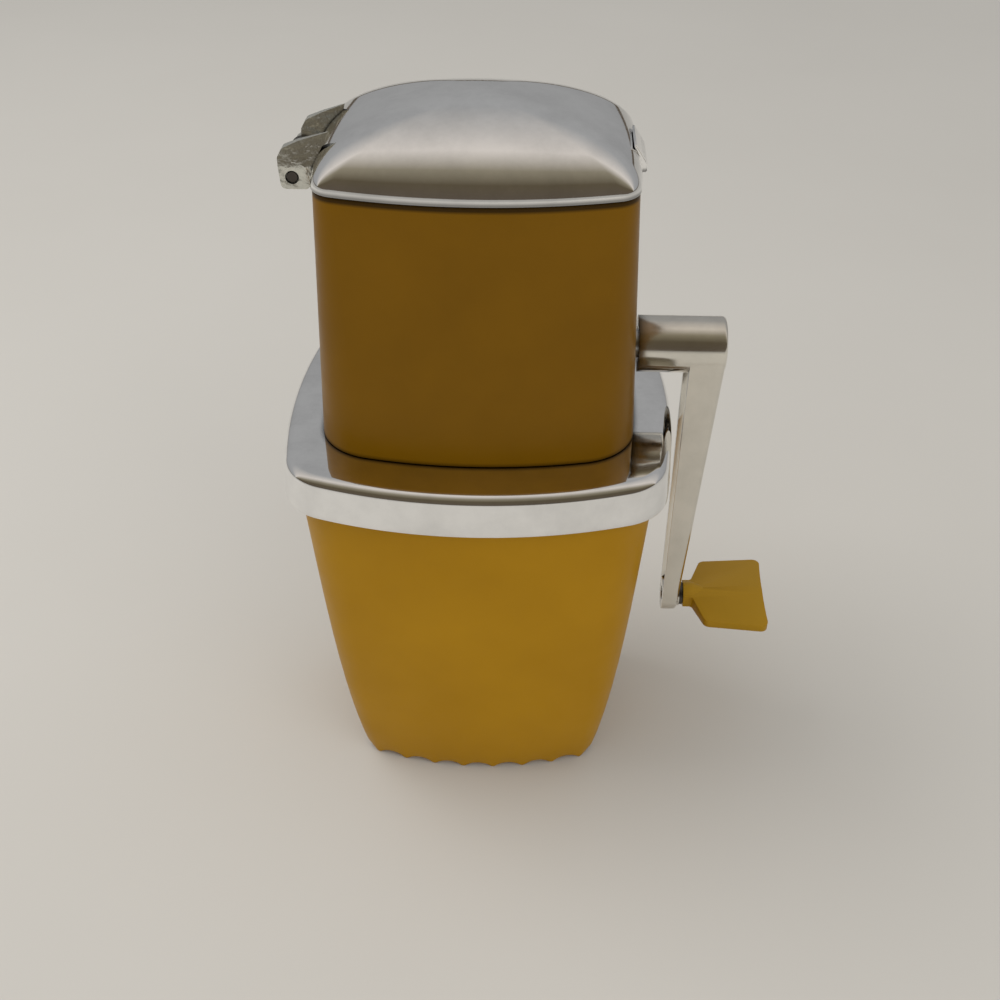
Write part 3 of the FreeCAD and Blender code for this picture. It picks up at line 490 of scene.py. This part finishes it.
def softened(node, name, width, angle=28.0, segments=2):
    """Copy of a node's mesh with its sharp edges rounded."""
    piece = bpy.data.objects.new(name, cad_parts[node].data.copy())
    bpy.context.scene.collection.objects.link(piece)
    mesh = bmesh.new()
    mesh.from_mesh(piece.data)
    bmesh.ops.remove_doubles(mesh, verts=mesh.verts, dist=2e-6)
    bmesh.ops.dissolve_limit(mesh, angle_limit=math.radians(0.6), verts=mesh.verts, edges=mesh.edges)
    mesh.to_mesh(piece.data)
    mesh.free()
    modifier = piece.modifiers.new("soft", "BEVEL")
    modifier.width = width * MM
    modifier.segments = segments
    modifier.limit_method = "ANGLE"
    modifier.angle_limit = math.radians(angle)
    modifier.use_clamp_overlap = True
    apply_modifiers(piece)
    smooth(piece, 32)
    return piece


# Materials

def srgb(red, green, blue):
    """Linear colour of a photograph's pixel value."""
    def line(value):
        value /= 255.0
        return value / 12.92 if value <= 0.04045 else ((value + 0.055) / 1.055) ** 2.4
    return (line(red), line(green), line(blue), 1.0)


class Shader:
    """A material under construction: nodes, links and the principled shader."""

    def __init__(self, name):
        self.material = bpy.data.materials.new(name)
        self.material.use_nodes = True
        self.nodes = self.material.node_tree.nodes
        self.links = self.material.node_tree.links
        self.bsdf = self.nodes["Principled BSDF"]
        self.place = self.nodes.new("ShaderNodeTexCoord").outputs["Object"]

    def set(self, **values):
        for key, value in values.items():
            self.bsdf.inputs[key.replace("_", " ")].default_value = value

    def noise(self, scale, detail=4.0, roughness=0.55, stretch=(1, 1, 1)):
        mapping = self.nodes.new("ShaderNodeMapping")
        mapping.inputs["Scale"].default_value = stretch
        self.links.new(self.place, mapping.inputs["Vector"])
        node = self.nodes.new("ShaderNodeTexNoise")
        node.inputs["Scale"].default_value = scale
        node.inputs["Detail"].default_value = detail
        node.inputs["Roughness"].default_value = roughness
        self.links.new(mapping.outputs["Vector"], node.inputs["Vector"])
        return node.outputs["Fac"]

    def axis(self, letter):
        node = self.nodes.new("ShaderNodeSeparateXYZ")
        self.links.new(self.place, node.inputs[0])
        return node.outputs[letter]

    def hollow(self, distance):
        """0 in hollows and against a neighbour, 1 in the open."""
        node = self.nodes.new("ShaderNodeAmbientOcclusion")
        node.samples = 8
        node.inputs["Distance"].default_value = distance * MM
        return node.outputs["AO"]

    def ramp(self, value, stops):
        node = self.nodes.new("ShaderNodeValToRGB")
        while len(node.color_ramp.elements) < len(stops):
            node.color_ramp.elements.new(0.5)
        for element, (position, colour) in zip(node.color_ramp.elements, stops):
            element.position = position
            element.color = colour if len(colour) == 4 else (*colour, 1.0)
        self.links.new(value, node.inputs["Fac"])
        return node.outputs["Color"]

    def range(self, value, low, high, from_low=0.3, from_high=0.7):
        node = self.nodes.new("ShaderNodeMapRange")
        node.inputs["From Min"].default_value = from_low
        node.inputs["From Max"].default_value = from_high
        node.inputs["To Min"].default_value = low
        node.inputs["To Max"].default_value = high
        self.links.new(value, node.inputs["Value"])
        return node.outputs["Result"]

    def times(self, first, second):
        node = self.nodes.new("ShaderNodeMix")
        node.data_type = "RGBA"
        node.blend_type = "MULTIPLY"
        node.inputs["Factor"].default_value = 1.0
        self.links.new(first, node.inputs[6])
        self.links.new(second, node.inputs[7])
        return node.outputs[2]

    def math(self, operation, first, second):
        node = self.nodes.new("ShaderNodeMath")
        node.operation = operation
        for socket, value in zip(node.inputs, (first, second)):
            if isinstance(value, (int, float)):
                socket.default_value = value
            else:
                self.links.new(value, socket)
        return node.outputs["Value"]

    def bump(self, value, strength, distance):
        node = self.nodes.new("ShaderNodeBump")
        node.inputs["Strength"].default_value = strength
        node.inputs["Distance"].default_value = distance
        self.links.new(value, node.inputs["Height"])
        self.links.new(node.outputs["Normal"], self.bsdf.inputs["Normal"])

    def feed(self, socket, value):
        self.links.new(value, self.bsdf.inputs[socket])


def enamel(name, dark, light, roughness, shade=None):
    """Gloss paint or moulded plastic with faint clouds of colour and a slightly uneven skin."""
    s = Shader(name)
    colour = s.ramp(s.noise(26.0, 5.0), [(0.30, dark), (0.72, light)])
    if shade:
        colour = shade(s, colour)
    s.feed("Base Color", colour)
    s.feed("Roughness", s.range(s.noise(90.0), roughness - 0.04, roughness + 0.07))
    s.bsdf.inputs["Specular IOR Level"].default_value = 0.15
    s.bump(s.noise(210.0, 3.0), 0.10, 0.0003)
    return s.material


def housing_painted_shade(s, colour):
    """Painted shade: darker under the lid's rim and where the housing meets the ledge."""
    height = s.axis("Z")
    # Painted shadow of the lid's rim along the housing's top.
    top = s.range(height, 1.0, 0.0, (housing_top - 2.2) * MM, (housing_top - 0.9) * MM)
    # Painted shade in the crease where the housing meets the ledge.
    foot = s.range(height, 0.25, 1.0, collar_top * MM, (collar_top + 1.6) * MM)
    return s.times(colour, s.math("MULTIPLY", s.math("MAXIMUM", top, 0.22), foot))


def lid_rim_painted_shade(s, colour):
    """Painted shade: darker along the lid's lower rim."""
    low, high = (lid_bottom + 0.7) * MM, (lid_bottom + 1.6) * MM
    return s.times(colour, s.range(s.axis("Z"), 0.38, 1.0, low, high))


def chrome(
    name, colour, roughness, spread,
    shade_reach=0.0, grain=18.0, depth=0.0006, strength=0.05, shade=None,
):
    """Polished or satin metal: soft stains, uneven polish, and painted shade of a set reach in the
    hollows and against neighbouring parts.
    """
    s = Shader(name)
    s.set(Metallic=1.0)
    worn = s.noise(60.0, 6.0, 0.65)
    tone = s.ramp(worn, [(0.28, tuple(c * 0.86 for c in colour[:3])), (0.6, colour)])
    if shade_reach:
        # Painted shade: darker in hollows and close to neighbouring parts.
        tone = s.times(tone, s.range(s.hollow(shade_reach), 0.05, 1.0, 0.45, 0.8))
    if shade:
        tone = shade(s, tone)
    s.feed("Base Color", tone)
    s.feed("Roughness", s.range(s.noise(35.0, 6.0, 0.7), roughness, roughness + spread, 0.35, 0.75))
    s.bump(s.noise(grain, 3.0), strength, depth)
    return s.material


def dress(piece, material):
    piece.data.materials.clear()
    piece.data.materials.append(material)


# The housing's yellow is set darker than the cup's, though both are the same yellow: painted shade.
housing_paint = enamel("housing_enamel", srgb(112, 77, 0), srgb(121, 84, 1), 0.34, housing_painted_shade)
cup_plastic = enamel("cup_moulding", srgb(166, 121, 8), srgb(175, 129, 12), 0.38)
knob_plastic = enamel("knob_moulding", srgb(160, 122, 22), srgb(170, 130, 30), 0.38)
bright_chrome = chrome("bright_chrome", (0.93, 0.93, 0.93), 0.03, 0.05, shade_reach=3.0)
lid_chrome = chrome("lid_chrome", (0.93, 0.93, 0.93), 0.04, 0.05, shade=lid_rim_painted_shade)
satin_chrome = chrome("satin_chrome", (0.80, 0.77, 0.70), 0.10, 0.14, shade_reach=7.0)
ear_casting = chrome(
    "ear_casting", (0.72, 0.72, 0.66), 0.30, 0.25, shade_reach=1.5, grain=260.0, depth=0.0012, strength=0.9,
)
cast_metal = chrome(
    "cast_metal", (0.50, 0.50, 0.48), 0.34, 0.2, grain=150.0, depth=0.0008, strength=0.4,
)
dark_steel = chrome("dark_steel", (0.10, 0.09, 0.08), 0.35, 0.2)
steel = chrome("plated_steel", (0.60, 0.60, 0.60), 0.22, 0.15)
brass = chrome("turned_brass", (0.72, 0.58, 0.30), 0.22, 0.12)

cup = make_cup()
dress(cup, cup_plastic)
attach(cup, "cup")
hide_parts("cup")

for piece, material, node, slot in (
    (make_collar(), bright_chrome, "collar", "collar_chrome"),
    (make_housing(), housing_paint, "upper_housing", "housing_paint"),
):
    dress(piece, material)
    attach(piece, "head")
    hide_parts(node)

for piece in (make_lid(), make_tab()):
    dress(piece, lid_chrome)
    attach(piece, "lid")
    if piece.name == "lid_shell":
        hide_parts("lid")

for node, body, width, material, slot in (
    ("lid_ear_front", "lid", 0.4, ear_casting, "ear_casting"),
    ("lid_ear_rear", "lid", 0.4, ear_casting, "ear_casting"),
    ("crank_arm", "crank", 0.35, satin_chrome, "crank_plate"),
    ("crank_knob", "knob", 0.5, knob_plastic, "knob_plastic"),
):
    piece = softened(node, node + "_soft", width)
    dress(piece, material)
    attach(piece, body)
    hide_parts(node)

kept = {
    "hopper": cast_metal,
    "crusher_chamber": cast_metal,
    "hinge_pin": dark_steel,
    "hinge_bracket": dark_steel,
    "knob_pin": dark_steel,
    # The washer's near-black colour is painted shade.
    "knob_washer": dark_steel,
    "bearing_bush_left": brass,
    "bearing_bush_right": brass,
}
for node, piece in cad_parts.items():
    if not piece.hide_render:
        for place in piece.material_slots:
            place.material = kept.get(node, steel)


# Stage, lights and camera

def make_stage():
    """One large plain pale floor."""
    mesh = bmesh.new()
    bmesh.ops.create_grid(mesh, x_segments=4, y_segments=4, size=floor_half)
    floor = finish_mesh("stage_floor", mesh)
    s = Shader("stage_cloth")
    s.feed("Base Color", s.ramp(s.noise(3.0, 4.0), floor_tones))
    s.set(Roughness=0.9)
    s.bsdf.inputs["Specular IOR Level"].default_value = 0.0
    dress(floor, s.material)
    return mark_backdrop(floor)


def add_area(name, place, target, size, power, colour):
    light = bpy.data.lights.new(name, "AREA")
    light.shape = "RECTANGLE"
    light.size, light.size_y = size
    light.energy = power
    light.color = colour
    holder = bpy.data.objects.new(name, light)
    holder.location = place
    aim = Vector(target) - Vector(place)
    holder.rotation_euler = aim.to_track_quat("-Z", "Y").to_euler()
    holder.visible_glossy = False
    holder.visible_camera = False
    bpy.context.scene.collection.objects.link(holder)


# Soft gradient that polished metal sees, from the front horizon over the top to the back
room_tones = [
    (0.0, (0.10, 0.08, 0.06)), (0.2, (0.10, 0.08, 0.05)), (0.35, (0.25, 0.22, 0.16)),
    (0.5, (0.65, 0.60, 0.55)), (0.75, (0.35, 0.35, 0.35)), (1.0, (0.30, 0.30, 0.30)),
]


def make_world():
    """Soft room light; polished metal sees a dim front and a pale top, and the camera a pale wall."""
    world = bpy.data.worlds.new("room")
    bpy.context.scene.world = world
    world.use_nodes = True
    nodes, links = world.node_tree.nodes, world.node_tree.links
    aim = nodes.new("ShaderNodeSeparateXYZ")
    links.new(nodes.new("ShaderNodeTexCoord").outputs["Generated"], aim.inputs[0])

    def calculate(operation, first, second):
        node = nodes.new("ShaderNodeMath")
        node.operation = operation
        for socket, value in zip(node.inputs, (first, second)):
            if isinstance(value, (int, float)):
                socket.default_value = value
            else:
                links.new(value, socket)
        return node.outputs[0]

    def mixed(share, first, second):
        node = nodes.new("ShaderNodeMix")
        node.data_type = "RGBA"
        sockets = (node.inputs["Factor"], node.inputs[6], node.inputs[7])
        for socket, value in zip(sockets, (share, first, second)):
            if isinstance(value, tuple):
                socket.default_value = value
            else:
                links.new(value, socket)
        return node.outputs[2]

    def banded(value, stops):
        node = nodes.new("ShaderNodeValToRGB")
        while len(node.color_ramp.elements) < len(stops):
            node.color_ramp.elements.new(1.0)
        for element, (position, colour) in zip(node.color_ramp.elements, stops):
            element.position, element.color = position, colour
        links.new(value, node.inputs["Fac"])
        return node.outputs["Color"]

    front = calculate("MULTIPLY", aim.outputs["Y"], -1.0)
    over = calculate("DIVIDE", calculate("ARCTAN2", aim.outputs["Z"], front), math.pi)
    room = banded(over, [(place, (*tone, 1.0)) for place, tone in room_tones])
    ray = nodes.new("ShaderNodeLightPath")
    lit = mixed(ray.outputs["Is Glossy Ray"], room_light, room)
    seen = mixed(ray.outputs["Is Camera Ray"], lit, wall_tone)
    links.new(seen, nodes["Background"].inputs["Color"])
    nodes["Background"].inputs["Strength"].default_value = 1.0


def make_camera():
    pitch, yaw, roll = (math.radians(v) for v in (camera_pitch, camera_yaw, camera_roll))
    level = math.cos(pitch)
    forward = Vector((math.sin(yaw) * level, math.cos(yaw) * level, -math.sin(pitch)))
    right = Vector((math.cos(yaw), -math.sin(yaw), 0.0))
    right = Matrix.Rotation(roll, 3, forward) @ right
    up = right.cross(forward)
    data = bpy.data.cameras.new("photo_camera")
    data.sensor_width = 36.0
    data.lens = camera_lens
    data.clip_start = 0.01
    camera = bpy.data.objects.new("photo_camera", data)
    turn = Matrix((right, up, -forward)).transposed().to_4x4()
    camera.matrix_world = Matrix.Translation(camera_place) @ turn
    bpy.context.scene.collection.objects.link(camera)
    bpy.context.scene.camera = camera


make_stage()
make_world()
add_area("window", (-0.7, 0.1, 1.1), (0, 0, 0.12), (0.9, 0.7), 6.0, (1.0, 0.98, 0.96))
add_area("room_fill", (0.5, -0.9, 0.8), (0, 0, 0.1), (1.0, 1.0), 3.0, (1.0, 0.95, 0.88))
make_camera()
bpy.context.scene.view_settings.view_transform = "Standard"
